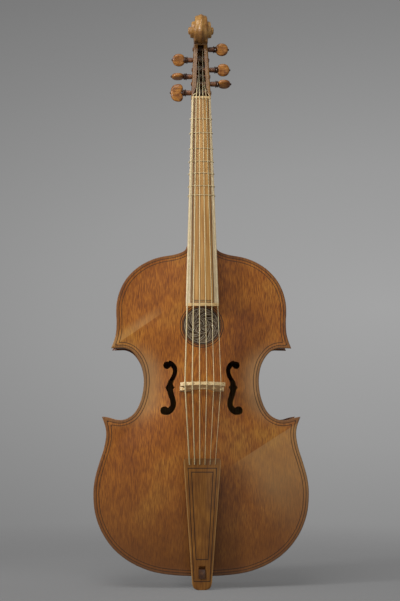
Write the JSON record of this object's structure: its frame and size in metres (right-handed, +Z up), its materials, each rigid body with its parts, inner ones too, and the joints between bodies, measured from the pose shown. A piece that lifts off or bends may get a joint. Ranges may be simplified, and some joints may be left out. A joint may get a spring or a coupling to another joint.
{
  "type": "viola da gamba",
  "caption": "Bass viola da gamba with arched top, open C holes, carved rosette, fretted neck, lateral tuning pegs, scroll and a hook bar that holds its tailpiece.",
  "frame": {"origin": "centre of the hook bar's flat foot on the floor, on the centreline, in the plane where the ribs meet the top", "axes": "+Z up along the instrument towards the scroll, -Y out of the top towards the player's bow, +X to the treble side"},
  "size_m": [0.4466, 0.2168, 1.2051],
  "materials": {
    "top_wood": "satin varnished spruce",
    "body_wood": "satin varnished maple",
    "neck_wood": "satin varnished maple",
    "inner_wood": "bare spruce",
    "board_wood": "oiled veneer",
    "bone": "polished bone",
    "gut": "twisted gut",
    "peg_wood": "waxed fruitwood",
    "bridge_wood": "bare maple",
    "tail_wood": "satin varnished wood with dark inlaid lines",
    "parchment": "aged pierced parchment and wood"
  },
  "bodies": {
    "body": {"top_plate": "top_wood", "back_plate": "body_wood", "lower_rib_left": "body_wood", "lower_rib_right": "body_wood", "waist_rib_left": "body_wood", "waist_rib_right": "body_wood", "upper_rib_left": "body_wood", "upper_rib_right": "body_wood", "neck_block": "inner_wood", "bottom_block": "inner_wood", "lower_corner_block_left": "inner_wood", "lower_corner_block_right": "inner_wood", "upper_corner_block_left": "inner_wood", "upper_corner_block_right": "inner_wood", "lower_lining_left": "inner_wood", "lower_lining_right": "inner_wood", "waist_lining_left": "inner_wood", "waist_lining_right": "inner_wood", "upper_lining_left": "inner_wood", "upper_lining_right": "inner_wood", "bass_bar": "inner_wood", "sound_post": "inner_wood", "soundpost_plate": "inner_wood", "lower_back_brace": "inner_wood", "upper_back_brace": "inner_wood", "rosette": "parchment", "neck": "neck_wood", "fingerboard": "board_wood", "fingerboard_edge_left": "bone", "fingerboard_edge_right": "bone", "fingerboard_end_strip": "bone", "nut": "bone", "bridge": "bridge_wood", "tailpiece": "tail_wood", "hook_bar": "body_wood", "string_1": "gut", "string_2": "gut", "string_3": "gut", "string_4": "gut", "string_5": "gut", "string_6": "gut"},
    "bass_peg_1": {"peg_bass_1": "peg_wood", "string_winding_1": "gut"},
    "bass_peg_2": {"peg_bass_2": "peg_wood", "string_winding_2": "gut"},
    "bass_peg_3": {"peg_bass_3": "peg_wood", "string_winding_3": "gut"},
    "treble_peg_3": {"peg_treble_3": "peg_wood", "string_winding_4": "gut"},
    "treble_peg_2": {"peg_treble_2": "peg_wood", "string_winding_5": "gut"},
    "treble_peg_1": {"peg_treble_1": "peg_wood", "string_winding_6": "gut"},
    "tied_fret_1": {"fret_1": "gut"},
    "tied_fret_2": {"fret_2": "gut"},
    "tied_fret_3": {"fret_3": "gut"},
    "tied_fret_4": {"fret_4": "gut"},
    "tied_fret_5": {"fret_5": "gut"},
    "tied_fret_6": {"fret_6": "gut"},
    "tied_fret_7": {"fret_7": "gut"}
  },
  "joints": [
    {"name": "bass_peg_1_turn", "type": "hinge", "parent": "body", "child": "bass_peg_1", "pos_m": [0, 0.02438, 1.0403], "axis": [1, 0, 0], "continuous": true},
    {"name": "bass_peg_2_turn", "type": "hinge", "parent": "body", "child": "bass_peg_2", "pos_m": [0, 0.03154, 1.077], "axis": [1, 0, 0], "continuous": true},
    {"name": "bass_peg_3_turn", "type": "hinge", "parent": "body", "child": "bass_peg_3", "pos_m": [0, 0.03887, 1.1145], "axis": [1, 0, 0], "continuous": true},
    {"name": "treble_peg_3_turn", "type": "hinge", "parent": "body", "child": "treble_peg_3", "pos_m": [0, 0.04366, 1.139], "axis": [1, 0, 0], "continuous": true},
    {"name": "treble_peg_2_turn", "type": "hinge", "parent": "body", "child": "treble_peg_2", "pos_m": [0, 0.03457, 1.0925], "axis": [1, 0, 0], "continuous": true},
    {"name": "treble_peg_1_turn", "type": "hinge", "parent": "body", "child": "treble_peg_1", "pos_m": [0, 0.02834, 1.0606], "axis": [1, 0, 0], "continuous": true},
    {"name": "fret_1_slide", "type": "slide", "parent": "body", "child": "tied_fret_1", "axis": [0, 0.126, 0.992], "range_m": [-0.003, 0.003]},
    {"name": "fret_2_slide", "type": "slide", "parent": "body", "child": "tied_fret_2", "axis": [0, 0.126, 0.992], "range_m": [-0.003, 0.003]},
    {"name": "fret_3_slide", "type": "slide", "parent": "body", "child": "tied_fret_3", "axis": [0, 0.126, 0.992], "range_m": [-0.003, 0.003]},
    {"name": "fret_4_slide", "type": "slide", "parent": "body", "child": "tied_fret_4", "axis": [0, 0.126, 0.992], "range_m": [-0.003, 0.003]},
    {"name": "fret_5_slide", "type": "slide", "parent": "body", "child": "tied_fret_5", "axis": [0, 0.126, 0.992], "range_m": [-0.003, 0.003]},
    {"name": "fret_6_slide", "type": "slide", "parent": "body", "child": "tied_fret_6", "axis": [0, 0.126, 0.992], "range_m": [-0.003, 0.003]},
    {"name": "fret_7_slide", "type": "slide", "parent": "body", "child": "tied_fret_7", "axis": [0, 0.126, 0.992], "range_m": [-0.003, 0.003]}
  ]
}
